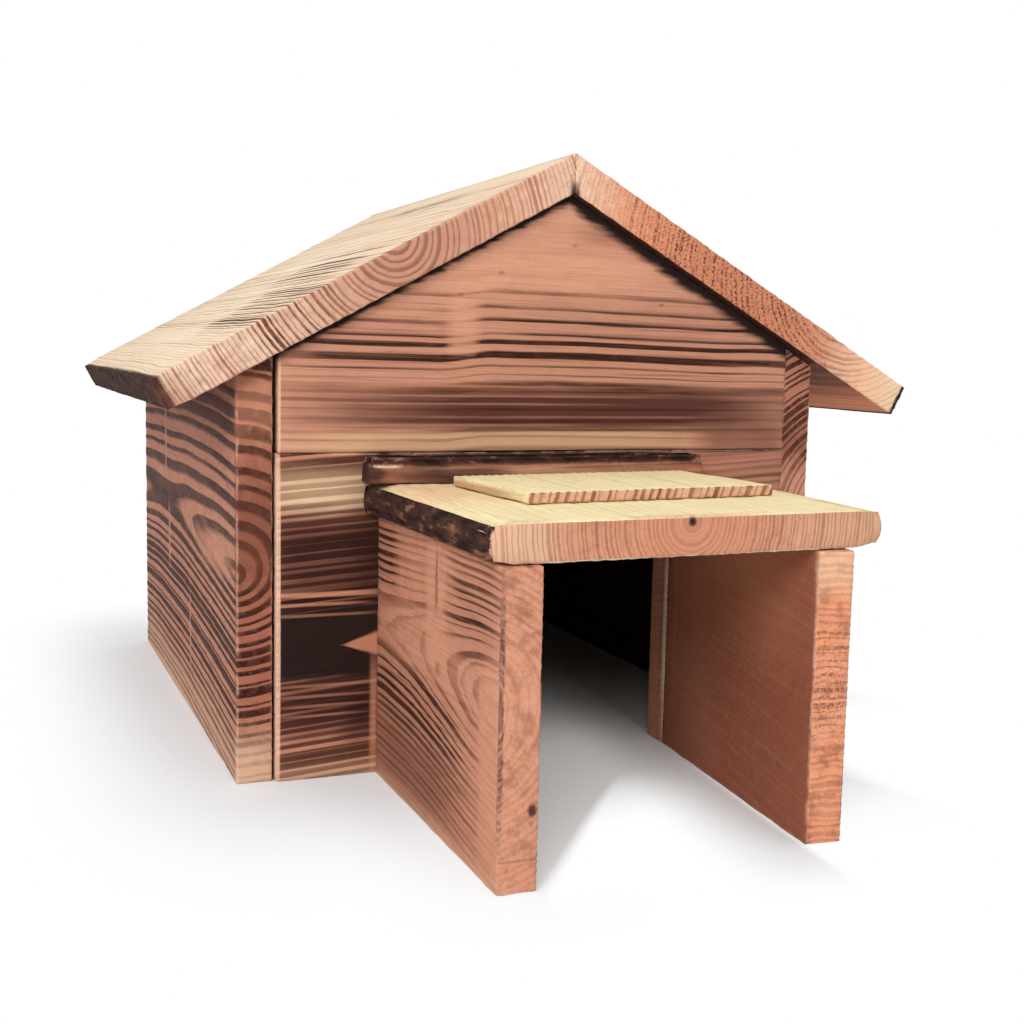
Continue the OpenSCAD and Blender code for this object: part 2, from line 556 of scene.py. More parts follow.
    bump = tree.node("ShaderNodeBump", values={"Strength": 0.55, "Distance": 0.4 * MM, "Height": height})
    wood = tree.node(
        "ShaderNodeBsdfPrincipled",
        values={"Base Color": skin, "Roughness": rough, "Normal": bump, "Specular IOR Level": 0.1})
    tree.node("ShaderNodeOutputMaterial", values={"Surface": wood})
    return material


def bark_ridges(tree, timber):
    """Furrowed bark, in ridges along the grain that break up into plates."""
    return timber.figure(tree, *BARK)


ROOF_UNDER = box("front_gable")[1].z
ROOF_SLOPE = (ROOF_UNDER - box("left_wall")[1].z) / -box("left_wall")[1].x


def roof_char_and_shade(tree, timber, reach):
    """Char and painted shade along the top of a gable board, under the roof's overhang, and how far down it
    reaches on the left and on the right.
    """
    spot = tree.place()
    over = tree.dot(tree.vector("ABSOLUTE", spot), (ROOF_SLOPE, 0, 1))
    left, right = reach
    deep = tree.between(tree.step(tree.dot(spot, (1, 0, 0)), -15, 15), left, right)
    low = ROOF_UNDER - over + (timber.figure(tree, *CHAR_EDGE) - 0.5) * 8
    return 1 - tree.step(low / deep, 0.4, 1.15)


def flat_faces(node):
    """The flat faces of a CAD node, each as a normal and its distance from the origin in millimetres."""
    found = []
    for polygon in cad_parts[node].data.polygons:
        normal = polygon.normal.copy()
        reach = normal.dot(polygon.center) / MM
        if not any(normal.dot(other) > 0.9999 and abs(reach - far) < 0.01 for other, far in found):
            found.append((normal, reach))
    return found


def select_edges(piece, way):
    """Selects the edges of a piece that run one way, without the short ones on its arrises."""
    mesh = bmesh.from_edit_mesh(piece.data)
    runs = {}
    for edge in mesh.edges:
        run = edge.verts[1].co - edge.verts[0].co
        if abs(run.normalized().dot(way)) > 0.8:
            runs[edge] = run.length
    limit = SHORT_EDGE * max(runs.values())
    for edge in mesh.edges:
        edge.select_set(runs.get(edge, 0) > limit)
    bmesh.update_edit_mesh(piece.data)


def grid_piece(piece, steps):
    """Cuts the faces of a board into a fine grid, one axis at a time."""
    low, high = (Vector(corner) for corner in (piece.bound_box[0], piece.bound_box[6]))
    size = high - low
    for axis, step in enumerate(steps):
        way = Vector((0, 0, 0))
        way[axis] = 1
        select_edges(piece, way)
        bpy.ops.mesh.subdivide(number_cuts=max(1, round(size[axis] / step) - 1))


def begin_box(name, low, high):
    """A cube primitive at the size and place of a board, left in edit mode with nothing selected."""
    bpy.ops.object.select_all(action="DESELECT")
    middle = (low + high) / 2
    bpy.ops.mesh.primitive_cube_add(size=1, location=middle * MM, scale=(high - low) * MM)
    piece = bpy.context.active_object
    piece.name = name
    piece.data.name = name
    bpy.ops.object.transform_apply(location=True, rotation=True, scale=True)
    bpy.ops.object.mode_set(mode="EDIT")
    bpy.ops.mesh.select_mode(type="VERT")
    bpy.ops.mesh.select_all(action="DESELECT")
    return piece


def move_corners(piece, node, gaps):
    """Moves each corner of the cube onto the nearest corner of the CAD node, less the gaps at its ends."""
    corners = {tuple(round(part, 6) for part in vertex.co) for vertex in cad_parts[node].data.vertices}
    low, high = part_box(node)
    middle = (low + high) / 2
    for index in range(8):
        mesh = bmesh.from_edit_mesh(piece.data)
        mesh.verts.ensure_lookup_table()
        for vertex in mesh.verts:
            vertex.select_set(vertex.index == index)
        mesh.select_flush_mode()
        start = mesh.verts[index].co.copy()
        target = min((Vector(corner) for corner in corners), key=lambda corner: (corner - start).length)
        target.x += gaps[0] if target.x < middle.x else -gaps[1]
        bmesh.update_edit_mesh(piece.data)
        bpy.ops.transform.translate(value=target - start)


def ease_arrises(piece, size):
    """Rubs the sharp edges of a board round."""
    bpy.ops.mesh.select_mode(type="EDGE")
    mesh = bmesh.from_edit_mesh(piece.data)
    for edge in mesh.edges:
        edge.select_set(edge.is_manifold and edge.calc_face_angle() > math.radians(ARRIS_ANGLE))
    bmesh.update_edit_mesh(piece.data)
    bpy.ops.mesh.bevel(offset=size, offset_type="OFFSET", segments=2, profile=0.5, affect="EDGES")


def store(piece, name, kind, values):
    """Stores numbers on the points of a mesh, for its finish to read."""
    attribute = piece.data.attributes.new(name, kind, "POINT")
    field = "vector" if kind == "FLOAT_VECTOR" else "value"
    attribute.data.foreach_set(field, np.ascontiguousarray(values, np.float32).ravel())


def measure_faces(piece, node, live, barked):
    """Stores how far each point is from the arris and the live edges, and which way its face looks."""
    spots = np.zeros(len(piece.data.vertices) * 3, np.float32)
    piece.data.vertices.foreach_get("co", spots)
    spots = spots.reshape(-1, 3) / MM
    faces = flat_faces(node)
    normals = np.array([tuple(normal) for normal, reach in faces])
    depths = np.array([reach for normal, reach in faces]) - spots @ normals.T
    store(piece, "arris", "FLOAT", np.sort(depths, axis=1)[:, 1])
    store(piece, "facing", "FLOAT_VECTOR", normals[depths.argmin(axis=1)])
    if live:
        store(piece, "live", "FLOAT", depths[:, (normals @ np.array(live).T).max(axis=1) > 0.8].min(axis=1))
        store(
            piece, "barked", "FLOAT",
            depths[:, (normals @ np.array(barked).T).max(axis=1) > 0.8].min(axis=1))
        flat = [column for column, normal in enumerate(normals) if normal[2] > 0.7]
        under = [column for column, normal in enumerate(normals) if normal[2] < -0.7]
        thick = depths[:, flat[0]] + depths[:, under[0]]
        store(piece, "rise", "FLOAT", (depths[:, under[0]] - depths[:, flat[0]]) / thick)


def brush_relief(piece, timber, groove, bark, rounding):
    """Wears the soft wood between the rings away, and roughens and rounds the live edges."""
    group = bpy.data.node_groups.new(piece.name + "_relief", "GeometryNodeTree")
    group.interface.new_socket("Geometry", in_out="INPUT", socket_type="NodeSocketGeometry")
    group.interface.new_socket("Geometry", in_out="OUTPUT", socket_type="NodeSocketGeometry")
    tree = Nodes(group)
    late = timber.bands(tree)[0]
    depth = (1 - late) * (0.5 + timber.figure(tree, *BRUSHING)) * groove
    if bark:
        near = 1 - tree.step(tree.stored("barked"), 0.6, 9.0)
        depth = depth + near * (1 - bark_ridges(tree, timber)) * bark
        rise = tree.stored("rise")
        sweep = timber.figure(tree, *LIVE_EDGE)
        near = 1 - tree.step(tree.stored("live"), 0.0, 16.0)
        depth = depth + near * (rise * rise * rounding + sweep * bark * 0.6)
    normal = tree.node("GeometryNodeInputNormal")
    shift = tree.vector("SCALE", normal)
    tree.tree.links.new((0 - depth).socket, shift.socket.node.inputs["Scale"])
    start = tree.node("NodeGroupInput")
    moved = tree.node("GeometryNodeSetPosition", values={"Geometry": start, "Offset": shift})
    tree.node("NodeGroupOutput", values={"Geometry": moved})
    modifier = piece.modifiers.new("Relief", "NODES")
    modifier.node_group = group
    bpy.context.view_layer.objects.active = piece
    bpy.ops.object.modifier_apply(modifier=modifier.name)
    bpy.data.node_groups.remove(group)


# Widest mesh spacing across a board, as a share of its ring width
RING_GRID = 0.37 * MM


def grid_steps(timber):
    """Mesh spacing on the three axes: long along the grain, fine across it."""
    sizes = bpy.context.scene.house_sizes
    steps = []
    for axis in range(3):
        along = abs(timber.run[axis]) > 0.7
        steps.append(sizes.grid_along if along else min(sizes.grid_across, timber.pitch * RING_GRID))
    return steps


def finish_board(piece, node, timber, finish, slot, live=(), barked=(), rounding=0.0, rough=1.0):
    """Measures, brushes and colours a board that has been cut, and puts it in the CAD node's place."""
    sizes = bpy.context.scene.house_sizes
    bpy.ops.object.mode_set(mode="OBJECT")
    measure_faces(piece, node, live or barked, barked)
    brush_relief(piece, timber, sizes.groove, sizes.bark_depth * rough if barked else 0.0, rounding * MM)
    bpy.ops.object.shade_smooth_by_angle(angle=math.radians(SMOOTH_ANGLE))
    piece.data.materials.append(wood_finish(node + "_wood", timber, finish))
    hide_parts(node)
    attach(piece, "root")


def saw_board(node, timber, finish, slot, gaps=(0, 0), **edges):
    """A six-sided board, cut in the place of a CAD node."""
    low, high = box(node)
    piece = begin_box("board_" + node, low, high)
    move_corners(piece, node, gaps)
    ease_arrises(piece, bpy.context.scene.house_sizes.ease)
    grid_piece(piece, grid_steps(timber))
    finish_board(piece, node, timber, finish, slot, **edges)


def saw_gable(node, timber, finish, slot, gaps):
    """A gable board: a box cut off along both slopes of the roof."""
    low, high = box(node)
    low.x += gaps[0] / MM
    high.x -= gaps[1] / MM
    piece = begin_box("board_" + node, low, high)
    ease_arrises(piece, bpy.context.scene.house_sizes.ease)
    grid_piece(piece, grid_steps(timber))
    for normal, far in flat_faces(node):
        if 0.2 < abs(normal.x) < 0.9:
            bpy.ops.mesh.select_all(action="SELECT")
            bpy.ops.mesh.bisect(
                plane_co=normal * far * MM, plane_no=normal, use_fill=True, clear_outer=True)
    finish_board(piece, node, timber, finish, slot)


class HOUSE_OT_side_walls(bpy.types.Operator):
    """Cut the two side walls"""

    bl_idname = "house.side_walls"
    bl_label = "Side walls"

    def execute(self, context):
        walls = dict(
            fresh="salmon", warm="rose", end_fresh="blush", end_warm="rose", scorch=0.72, cloud=0.22,
            streak=0.25, toast=0.2, lines=1.7, broken=0.08, end_lines=2.4, end_scorch=0.85, worn=0.35,
            mottle=0.4)
        left = Timber(
            heart=((-190.5, -99.5, 115), (-241.7, 279.5, 148)), pitch=7.2, lean=(0, 0.29),
            sweep=(0.00024, 0.00018), wander=1.0, band=0.58, seed=1.0)
        wipes = (
            on_left_wall((59, 62), (4, 36), 0.7, soft=0.8),
            on_left_wall((165, 176), (5, 30), 0.6, soft=0.8),
            on_left_wall((150, 100), (6, 30), 0.6, soft=0.8),
            on_left_wall((-30, 119), (80, 14), 0.5, soft=0.9))
        shades = (on_left_wall((60, 72), (260, 40), 0.4, soft=0.8),)
        stains_and_painted_light = (
            # Painted shade: the top of the left wall is darkened under the eave, where the roof shades it
            ("umber", on_left_skin((40, 212), (220, 22), 0.6, 0.3, 0.9, lines=0.0)),
            ("beige", on_left_skin((90, -6), (300, 32), 0.75, 0.25, 0.95, lines=0.4)),
            ("russet", on_wall_end((-180, 112), (30, 92), 0.6, 0.3, 0.6, lines=0.9)),
            ("umber", on_wall_end((-180, 140), (30, 44), 0.45, 0.5, 0.7, lines=0.0)),
            ("blush", on_wall_end((-180, 206), (30, 20), 0.5, 0.4, 0.8, lines=0.3)),
            ("beige", on_wall_end((-180, 2), (30, 30), 0.85, 0.3, 0.8, lines=0.2)))
        saw_board(
            "left_wall", left, Finish(painted_shade_facing=(1, 0, 0), shades=shades, wipes=wipes, stains_and_painted_light=stains_and_painted_light, **walls),
            "wall_wood")
        right = Timber(heart=((203, -99.5, 140), (214, 279.5, 152)), pitch=4.4, band=0.6, seed=2.0)
        stains_and_painted_light = (
            ("beige", Blot((172, 90, -4), (12, 300, 24), 0.5, 0.25, 0.9, lines=0.5)),
            ("russet", on_wall_end((162, 120), (30, 100), 0.6, 0.3, 0.6, lines=0.9)),
            ("umber", on_wall_end((162, 188), (30, 16), 0.3, 0.5, 0.8, lines=0.0)),
            ("salmon", on_wall_end((162, 156), (30, 22), 0.7, 0.4, 0.8, lines=0.5)))
        wipes = (Blot((172, 120, 120), (20, 6, 60), 0.6, soft=0.8),)
        saw_board(
            "right_wall", right, Finish(painted_shade_facing=(-1, 0, 0), wipes=wipes, stains_and_painted_light=stains_and_painted_light, **walls), "wall_wood")
        return {"FINISHED"}


class HOUSE_OT_front_boards(bpy.types.Operator):
    """Cut the front gable, the two panels beside the doorway and the lintel over it"""

    bl_idname = "house.front_boards"
    bl_label = "Front boards"

    def execute(self, context):
        gap = context.scene.house_sizes.gap
        boards = dict(end_fresh="salmon", end_warm="rose", painted_shade_facing=(0, 1, 0))
        gable = Timber(
            heart=((-170, -58, 305), (152, -60, 301)), pitch=5.2, wander=0.9, ripple=0.9, band=0.4,
            slip=(92, 128, 3.2), seed=3.0)
        shades = (
            on_front((46, 246), (135, 32), 0.8, soft=0.6),
            on_front((-112, 238), (56, 21), 0.6, soft=0.6))
        wipes = (on_front((-63, 252), (11, 24), 0.55, soft=0.8), on_front((-20, 304), (170, 30), 0.6))
        stains_and_painted_light = [
            ("toast", on_front((-10, 206), (180, 16), 0.5, 0.25, 0.7, lines=-0.1)),
            ("umber", on_front((14, 205.5), (168, 14), 1.0, 0.15, 0.6, lines=-0.1)),
            ("tan", on_front((-44, 187), (142, 7.5), 0.85, 0.2, 0.4, lines=0.5)),
            ("toast", on_front((122, 188), (36, 10), 0.75, 0.3, 0.5)),
            ("toast", on_front((26, 308), (24, 9), 0.55, 0.5, 0.9)),
            ("worn", Blot((-168, FRONT, 214), (1.6, 6, 40), 0.8, 0.1))]
        for x, z in ((-60, 219), (-40, 213.5), (-70, 209), (10, 201.5), (-80, 197)):
            stains_and_painted_light.append(("rose", on_front((x, z), (110, 0.8), 0.5, 0.5, 0.8)))
        for x, z in ((0, 216), (30, 206), (-20, 199), (40, 194)):
            stains_and_painted_light.append(("dark_line", on_front((x, z), (130, 0.9), 0.6, 0.5, 0.8)))
        for x, z in ((-41, 283), (-65, 270), (-49, 264), (4, 300), (62, 268)):
            stains_and_painted_light.append(("toast", Blot((x, FRONT, z), (2.4, 6, 1.3), 0.55, 0.4, 0.8, round=True)))
        saw_gable(
            "front_gable", gable,
            Finish(
                fresh="salmon", warm="salmon", scorch=0.3, cloud=0.12, streak=0.25, shades=shades,
                wipes=wipes, stains_and_painted_light=stains_and_painted_light, lines=1.25, broken=0.4, toast=0.3, worn=0.0, sharp=0.8,
                roof_char_and_shade=(4.5, 9.5), **boards),
            "wall_wood", (2 * gap, gap))
        panel = Timber(
            heart=((-170, -40, 262), (-92, -40, 268)), pitch=5.4, tighten=0.0008, wander=0.6, ripple=0.6,
            band=0.78, seed=4.0)
        stains_and_painted_light = [
            ("tan", on_front((-131, 163), (60, 13), 0.8, 0.25, 0.7, lines=0.4)),
            ("straw", on_front((-140, 160), (50, 12), 0.65, 0.4, 0.8, lines=0.7)),
            ("umber", on_front((-131, 126), (60, 25), 0.75, 0.3, 0.6, lines=-0.1)),
            ("dark_line", on_front((-131, 124), (60, 22), 0.3, 0.3, 0.6, lines=-1.6)),
            ("dark_line", on_front((-131, 101), (60, 12), 0.6, 0.2, 0.6, lines=-0.6)),
            ("dark_line", on_front((-106, 128), (26, 38), 0.75, 0.3, 0.9)),
            ("umber", on_front((-131, 40), (60, 20), 0.75, 0.3, 0.8, lines=-0.5)),
            ("dark_line", on_front((-131, 44), (60, 16), 0.3, 0.3, 0.8, lines=-1.5)),
            ("dark_line", on_front((-119, 36), (16, 24), 0.7, 0.3, 0.9)),
            ("blush", on_front((-146, 104), (46, 1.7), 0.9, 0.3, 0.6)),
            ("rose", on_front((-150, 98.5), (40, 1.2), 0.8, 0.3, 0.6)),
            ("char", on_front((-139, 76), (44, 21.5), 1.0, 0.2, 0.2, lines=0.0)),
            ("blush", on_front((-116, 75), (17, 12), 0.8, 0.12, 0.35, taper=True, lines=0.0)),
            ("blush", on_front((-113.5, 32), (2.6, 42), 0.75, 0.1, 0.8)),
            ("beige", on_front((-131, -2), (60, 13), 0.5, 0.25, 0.8, lines=0.5)),
            ("char", on_front((-107, 180), (17, 4), 0.9, 0.3, 0.5)),
            ("worn", Blot((-168.2, FRONT, 91), (1.9, 6, 110), 0.95, 0.1))]
        for z in (92.5, 53, 47, 41.5, 36):
            stains_and_painted_light.append(("rose", on_front((-142, z), (32, 1.0), 0.55, 0.4, 0.7)))
        saw_board(
            "front_left_panel", panel,
            Finish(
                fresh="salmon", warm="blush", scorch=0.62, cloud=0.12, streak=0.25, stains_and_painted_light=stains_and_painted_light,
                lines=1.6, broken=0.12, toast=0.3, worn=0.3, **boards),
            "wall_wood", (gap, 0))
        rest = dict(
            fresh="salmon", warm="rose", cloud=0.3, streak=0.4, lines=1.1, worn=0.3, end_scorch=0.2,
            end_toast=0.2, end_lines=0.3)
        panel = Timber(heart=((72, -40, 262), (152, -40, 266)), pitch=5.0, tighten=0.0008, seed=5.0)
        seam = (
            ("char", on_front((112, 182), (42, 2), 0.9, 0.2, 0.5)),
            ("salmon", Blot((72, -90, 75), (3, 9, 90), 0.95, 0.2, 0.8)),
            ("cream", Blot((72, -100.8, 78), (3, 2.6, 72), 0.9, 0.2, 0.7)))
        saw_board("front_right_panel", panel, Finish(stains_and_painted_light=seam, **rest, **boards), "wall_wood", (0, gap))
        lintel = Timber(heart=((-92, -40, 262), (72, -40, 266)), pitch=6.0, tighten=0.0008, seed=6.0)
        seam = (("char", on_front((-10, 180), (100, 5), 0.95, 0.2, 0.5)),)
        saw_board("front_lintel", lintel, Finish(stains_and_painted_light=seam, **rest, **boards), "wall_wood")
        return {"FINISHED"}


class HOUSE_OT_back_boards(bpy.types.Operator):
    """Cut the back gable and the board below it"""

    bl_idname = "house.back_boards"
    bl_label = "Back boards"

    def execute(self, context):
        gap = context.scene.house_sizes.gap
        boards = dict(
            fresh="salmon", warm="rose", end_fresh="salmon", end_warm="rose", painted_shade_facing=(0, -1, 0), toast=0.5,
            lines=1.2, worn=0.3)
        gable = Timber(heart=((-170, 232, 292), (152, 236, 296)), pitch=5.8, wander=1.0, seed=7.0)
        shades = (on_back((-20, 240), (130, 26), 0.5, soft=0.6),)
        stains_and_painted_light = (
            ("toast", on_back((-10, 206), (150, 14), 0.7, 0.25, 0.6, lines=0.0)),
            ("straw", on_back((30, 187), (130, 8), 0.8, 0.2, 0.5)))
        saw_gable(
            "back_gable", gable,
            Finish(
                scorch=0.3, cloud=0.25, streak=0.3, shades=shades, stains_and_painted_light=stains_and_painted_light, roof_char_and_shade=(9, 7),
                **boards),
            "wall_wood", (gap, gap))
        panel = Timber(heart=((-170, 225, 84), (152, 230, 98)), pitch=5.4, wander=2.0, seed=8.0)
        stains_and_painted_light = (
            ("char", on_back((90, 60), (60, 16), 0.95, 0.25)),
            ("umber", on_back((-60, 120), (110, 30), 0.5, 0.3, 0.8)),
            ("straw", on_back((0, -1), (220, 16), 0.7, 0.25, 0.8, lines=0.4)))
        saw_board(
            "back_panel", panel, Finish(scorch=0.6, cloud=0.35, streak=0.35, stains_and_painted_light=stains_and_painted_light, **boards),
            "wall_wood", (gap, gap))
        return {"FINISHED"}


class HOUSE_OT_roof_slabs(bpy.types.Operator):
    """Cut the two roof slabs, with bark on their eaves"""

    bl_idname = "house.roof_slabs"
    bl_label = "Roof slabs"

    def execute(self, context):
        slabs = dict(
            fresh="cream", warm="straw", end_fresh="cream", end_warm="salmon", scorch=0.04, cloud=0.12,
            streak=0.15, toast=0.12, lines=1.8, broken=0.3, end_lines=1.2, end_scorch=0.26, worn=0.2,
            painted_shade_facing=(0, 0, -1), painted_shade_width=178, mottle=0.15, sharp=2.0, ridge=0.3)
        mitre = ("char", on_slab_end((0, 322), (3.5, 14), 1.0, 0.2, 0.5))
        left = Timber(
            heart=((-106, -110.5, 299), (-106, 287.5, 299)), pitch=4.8, tighten=0.0032, ripple=0.9,
            seed=9.0)
        shades = (
            Blot((-165, -40, 260), (34, 80, 40), 1.0, soft=0.6),
            Blot((-116, 10, 290), (26, 90, 40), 0.85, soft=0.7),
            Blot((-30, 60, 335), (12, 80, 30), 0.45, soft=0.7))
        stains_and_painted_light = (
            ("salmon", Blot((-125, -20, 290), (50, 80, 40), 0.2, 0.4, 0.9)),
            ("cream", Blot((-110, 100, 290), (160, 210, 90), 0.6, 0.3, 0.9, lines=1.0)),
            ("blush", on_slab_end((-70, 310), (100, 80), 0.35, 0.3, 0.8, lines=0.0)),
            ("rose", on_slab_end((-92, 282), (70, 60), 0.65, 0.3, 0.7, lines=0.2)),
            ("toast", on_slab_end((-104, 286), (52, 60), 0.15, 0.3, 0.8, lines=-3.0)),
            ("toast", Blot((-234, -102, 208), (26, 22, 16), 0.5, 0.4, 0.9, over=True)), mitre)
        saw_board(
            "roof_left", left, Finish(shades=shades, stains_and_painted_light=stains_and_painted_light, bark=6.0, **slabs), "roof_wood",
            barked=((-1, 0, 0),), rounding=1.0, rough=0.6)
        right = Timber(
            heart=((192, -110.5, 284), (180, 287.5, 288)), pitch=4.0, tighten=0.001, ripple=1.8, wander=2.0,
            seed=10.0)
        shades = (
            Blot((70, 120, 312), (30, 120, 40), 0.5, soft=0.7),
            Blot((170, 60, 258), (26, 110, 40), 0.5, soft=0.7))
        wipes = (
            on_slab_end((222, 218), (26, 40), 0.5, soft=0.8),
            on_slab_end((8, 335), (24, 30), 0.4, soft=0.8))
        stains_and_painted_light = (
            ("blush", on_slab_end((102, 286), (98, 80), 0.85, 0.3, 0.5, lines=0.4)),
            ("amber", on_slab_end((100, 286), (98, 80), 0.5, 0.3, 0.5, lines=0.4)),
            ("russet", on_slab_end((112, 286), (80, 80), 0.35, 0.4, 0.8, lines=0.4)),
            ("russet", on_slab_end((104, 288), (90, 70), 1.0, 0.4, 0.6, specks=True, lines=0.0)),
            ("umber", on_slab_end((112, 294), (76, 64), 0.75, 0.6, 0.6, specks=True, lines=0.0)),
            ("straw", on_slab_end((216, 222), (36, 40), 0.75, 0.3, 0.8, lines=0.4)),
            ("amber", on_slab_end((204, 230), (22, 40), 0.3, 0.3, 0.9, lines=0.4)), mitre)
        saw_board(
            "roof_right", right, Finish(shades=shades, wipes=wipes, stains_and_painted_light=stains_and_painted_light, bark=3.4, **slabs),
            "roof_wood", barked=((1, 0, 0),), rough=0.1)
        return {"FINISHED"}


class HOUSE_OT_tunnel_walls(bpy.types.Operator):
    """Cut the two walls of the entrance tunnel"""

    bl_idname = "house.tunnel_walls"
    bl_label = "Tunnel walls"

    def execute(self, context):
        ends = dict(end_fresh="salmon", end_warm="blush", end_scorch=0.2, end_toast=0.25)
        left = Timber(
            heart=((-146, -102, 91), (-146, -287, 91)), pitch=3.5, wander=2.8, ripple=1.2,
            sweep=(-0.0005, 0.0002), seed=11.0)
        shades = (
            on_tunnel_wall((-170, 56), (80, 22), 0.75, soft=0.6),
            on_tunnel_wall((-116, 126), (26, 22), 0.6, soft=0.7),
            on_tunnel_wall((-252, 122), (36, 26), 0.5, soft=0.7),
            on_tunnel_wall((-165, 20), (80, 18), 0.35, soft=0.7))
        wipes = (
            on_tunnel_wall((-201, 118), (15, 34), 0.5, soft=0.8),
            on_tunnel_wall((-278, 50), (16, 60), 0.6, soft=0.8))
        stains_and_painted_light = (
            ("toast", on_tunnel_skin((-165, 22), (92, 26), 0.7, 0.3, 0.8)),
            ("beige", on_tunnel_skin((-190, -3), (150, 10), 0.4, 0.25, 0.8)),
            ("toast", on_tunnel_skin((-202, 126), (2.2, 18), 0.7, 0.2, 0.7)),
            ("russet", on_tunnel_skin((-205, 84), (5, 5), 0.6, 0.3, 0.8, round=True)),
            ("umber", Blot((-112, MOUTH, 86), (2.4, 2.0, 66), 0.85, 0.6, 0.5, lines=0.6)),
            ("umber", Blot((-95.5, MOUTH, 37.7), (2.4, 4, 3.4), 1.0, 0.3, 0.6, round=True, lines=0.0)),
            ("toast", Blot((-101, MOUTH, 15.4), (12, 3, 0.7), 0.4, 0.2)))
        saw_board(
            "tunnel_left_wall", left,
            Finish(
                fresh="salmon", warm="blush", scorch=0.25, cloud=0.2, streak=0.3, toast=0.4, lines=1.7,
                broken=0.1, shades=shades, wipes=wipes, stains_and_painted_light=stains_and_painted_light, end_lines=0.6, worn=0.15, mottle=0.4,
                **ends),
            "wall_wood")
        right = Timber(heart=((64, -280, -80), (81, -102, -60)), pitch=3.6, ripple=2.6, seed=12.0)
        stains_and_painted_light = (
            # Painted light: the upper part and the back of the inner face are painted lighter, to lift the
            # shade that falls there
            ("blush", Blot((66, -180, 142), (20, 100, 62), 0.7, 0.2, 0.95)),
            ("rose", Blot((72, -112, 90), (20, 70, 90), 0.75, 0.2, 0.95)),
            ("salmon", Blot((66, -190, 80), (20, 110, 90), 0.22, 0.3, 0.95, specks=True, lines=0.0)),
            ("umber", Blot((64, -280, 84), (14, 4, 34), 0.6, 0.6, 0.6, specks=True, lines=0.0)),
            ("straw", Blot((64, -280, 138), (14, 4, 14), 0.4, 0.3, 0.6)),
            ("worn", Blot((70, -116, 84), (8, 1.2, 56), 0.25, 0.1, 0.6)))
        saw_board(
            "tunnel_right_wall", right,
            Finish(
                fresh="russet", warm="russet", scorch=0.2, cloud=0.3, streak=0.4, toast=0.15, lines=0.5,
                stains_and_painted_light=stains_and_painted_light, mottle=0.5, **{**ends, "end_warm": "amber"}),
            "wall_wood")
        return {"FINISHED"}


# What the two pale boards on the tunnel have in common
PALE_WOOD = dict(
    fresh="butter", warm="butter", scorch=0.02, cloud=0.1, streak=0.25, toast=0.3, lines=0.4,
    end_scorch=0.2, end_toast=0.25, worn=0.0)


class HOUSE_OT_tunnel_roof(bpy.types.Operator):
    """Cut the slab over the tunnel, with bark on its left edge"""

    bl_idname = "house.tunnel_roof"
    bl_label = "Tunnel roof"

    def execute(self, context):
        slab = Timber(heart=((-15.6, -281, 163.4), (-9, -102.5, 165)), pitch=2.4, wander=1.0, seed=13.0)
        stains_and_painted_light = (
            ("beige", Blot((-106, -284, 156), (24, 8, 20), 0.75, 0.15, 0.5, lines=0.5)),
            ("beige", Blot((72, -278, 156), (40, 8, 20), 0.4, 0.3, 0.8, lines=0.5)),
            ("blush", Blot((-14, -281, 156), (44, 8, 20), 0.75, 0.3, 0.8, lines=0.3)),
            ("tan", Blot((100, -276, 156), (22, 8, 20), 0.5, 0.2, 0.6, lines=0.6)),
            ("toast", Blot((-40, -112, 166), (90, 14, 6), 0.5, 0.5, 0.8)),
            ("amber", Blot((-98, -160, 166), (26, 56, 6), 0.35, 0.5, 0.9)),
            ("toast", Blot((0, -281, 146), (130, 12, 2.2), 0.7, 0.3, 0.6)),
            ("char", Blot((-15.6, -281, 163.2), (2.6, 6, 2.6), 1.0, 0.2, 0.5, round=True)))
        saw_board(
            "tunnel_roof", slab,
            Finish(
                end_fresh="salmon", end_warm="blush", end_lines=1.15, stains_and_painted_light=stains_and_painted_light, bark=3.0, ridge=0.7,
                **PALE_WOOD),
            "roof_wood", live=((-1, 0, 0), (1, 0, 0)), barked=((-1, 0, 0),), rounding=4.0)
        return {"FINISHED"}


class HOUSE_OT_tunnel_batten(bpy.types.Operator):
    """Cut the batten with bark on its top, on the slab against the house"""

    bl_idname = "house.tunnel_batten"
    bl_label = "Tunnel batten"

    def execute(self, context):
        batten = Timber(
            heart=((-122, -105, 150), (84, -105, 152)), pitch=3.4, ripple=1.6, wander=2.5, seed=14.0)
        stains_and_painted_light = (
            ("umber", Blot((-90, -120, 172), (36, 12, 9), 0.6, 0.7, 0.8)),
            ("char", Blot((-122, -112, 174), (10, 20, 12), 0.9, 0.3, 0.5)),
            ("straw", on_batten((-112, 178), (9, 3.5), 0.9, 0.3, 0.4)),
            ("char", on_batten((-88, 177), (12, 5), 0.9, 0.4, 0.5)),
            ("tan", on_batten((-20, 171), (80, 5), 0.5, 0.8, 0.8)),
            ("char", on_batten((-66, 169), (34, 5), 0.85, 0.8, 0.7)),
            ("char", on_batten((40, 167), (40, 3), 0.7, 0.8, 0.7)),
            ("char", on_batten((10, 180), (90, 4), 0.8, 0.6, 0.5)))
        saw_board(
            "tunnel_batten", batten,
            Finish(
                fresh="blush", warm="russet", end_fresh="rose", end_warm="toast", cloud=0.6, streak=0.9,
                lines=1.0, toast=0.4, stains_and_painted_light=stains_and_painted_light, bark=6.0, worn=0.0, mottle=0.8),
            "bark_wood", barked=((0, 0, 1),), rounding=1.0)
        return {"FINISHED"}


